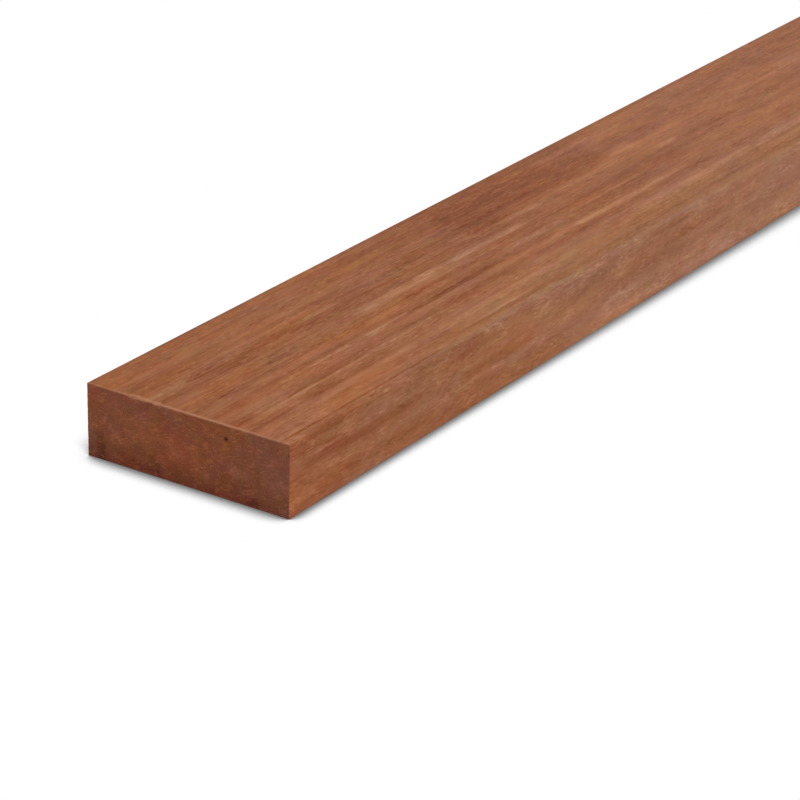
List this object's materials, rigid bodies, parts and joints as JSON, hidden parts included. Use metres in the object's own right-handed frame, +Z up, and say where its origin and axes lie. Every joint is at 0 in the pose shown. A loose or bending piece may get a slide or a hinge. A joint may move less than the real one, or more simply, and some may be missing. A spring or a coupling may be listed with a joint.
{
  "type": "hardwood beam",
  "caption": "Straight planed hardwood beam of rectangular section with eased long arrises and square-sawn ends, lying on a wide face.",
  "frame": {"origin": "middle of the bottom face, the wide face that the beam lies on", "axes": "+X along the grain and the length, Y across the wide faces, +Z up through the thickness"},
  "size_m": [2.45, 0.14, 0.045],
  "materials": {
    "hardwood": "planed reddish brown tropical hardwood, unoiled, with darker sawn end grain"
  },
  "bodies": {
    "root": {"beam": "hardwood"}
  },
  "joints": []
}
